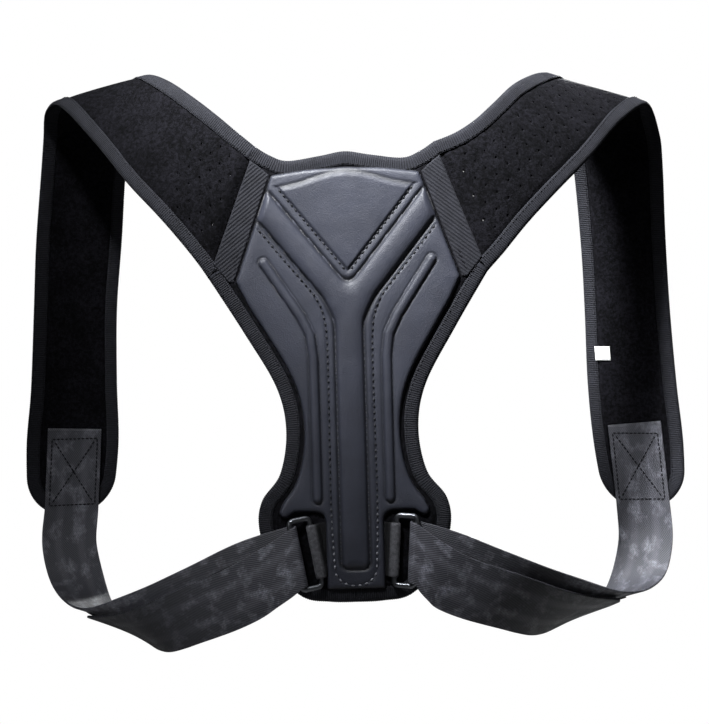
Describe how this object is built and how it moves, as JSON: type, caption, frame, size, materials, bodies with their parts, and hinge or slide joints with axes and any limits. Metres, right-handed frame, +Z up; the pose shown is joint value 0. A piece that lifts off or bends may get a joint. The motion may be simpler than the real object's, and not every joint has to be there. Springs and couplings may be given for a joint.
{
  "type": "back brace",
  "caption": "Posture back brace: moulded padded back panel, padded shoulder loops, and webbing straps that pass through metal rings and close with hook-and-loop tails.",
  "frame": {"origin": "middle of the back panel on its body side, at mid height of the panel", "axes": "+X to the wearer's right, +Y forward from the panel to the chest, +Z up along the spine"},
  "size_m": [0.4565, 0.1723, 0.3817],
  "materials": {
    "leather": "satin moulded leather over foam",
    "plush": "perforated brushed knit",
    "lining": "brushed knit lining",
    "tape": "cross-ribbed woven binding",
    "ribbed_tape": "diagonal-ribbed woven tape",
    "webbing": "satin twill webbing",
    "foam": "soft foam core",
    "plate": "matte",
    "ring_metal": "glossy black",
    "tab_webbing": "worn grey webbing",
    "hook": "hook tape",
    "loop": "loop tape",
    "thread": "stitching thread",
    "label": "blank white satin"
  },
  "bodies": {
    "back_panel": {"back_lining": "lining", "back_foam": "foam", "back_base": "plush", "spine_plate": "plate", "moulded_core": "foam", "moulded_cover": "leather", "neck_binding": "tape", "left_side_binding": "tape", "right_side_binding": "tape", "bottom_binding": "tape", "left_gusset": "ribbed_tape", "right_gusset": "ribbed_tape", "cover_stitching": "thread", "care_label": "label", "left_pad_lining": "lining", "left_pad_foam": "foam", "left_pad_cover": "plush", "left_pad_binding": "tape", "left_ring_tab": "tab_webbing", "left_strap_run": "webbing", "left_loop_tape": "loop", "left_box_stitching": "thread", "right_pad_lining": "lining", "right_pad_foam": "foam", "right_pad_cover": "plush", "right_pad_binding": "tape", "right_ring_tab": "tab_webbing", "right_strap_run": "webbing", "right_loop_tape": "loop", "right_box_stitching": "thread"},
    "left_ring_body": {"left_ring": "ring_metal"},
    "right_ring_body": {"right_ring": "ring_metal"},
    "left_tail_body": {"left_strap_tail": "webbing", "left_hook_tape": "hook"},
    "right_tail_body": {"right_strap_tail": "webbing", "right_hook_tape": "hook"}
  },
  "joints": [
    {"name": "left_ring_pivot", "type": "hinge", "parent": "back_panel", "child": "left_ring_body", "pos_m": [-0.025, -0.00875, -0.109], "axis": [-0.1736, 0, 0.9848], "range_deg": [-3.5, 3.5]},
    {"name": "right_ring_pivot", "type": "hinge", "parent": "back_panel", "child": "right_ring_body", "pos_m": [0.025, -0.00875, -0.109], "axis": [0.0698, 0, 0.9976], "range_deg": [-3.5, 3.5]},
    {"name": "left_tail_peel", "type": "hinge", "parent": "back_panel", "child": "left_tail_body", "pos_m": [-0.03837, -0.01605, -0.11136], "axis": [-0.1736, 0, 0.9848], "range_deg": [0, 110]},
    {"name": "right_tail_peel", "type": "hinge", "parent": "back_panel", "child": "right_tail_body", "pos_m": [0.03879, -0.01598, -0.10996], "axis": [-0.0698, 0, -0.9976], "range_deg": [0, 110]}
  ]
}
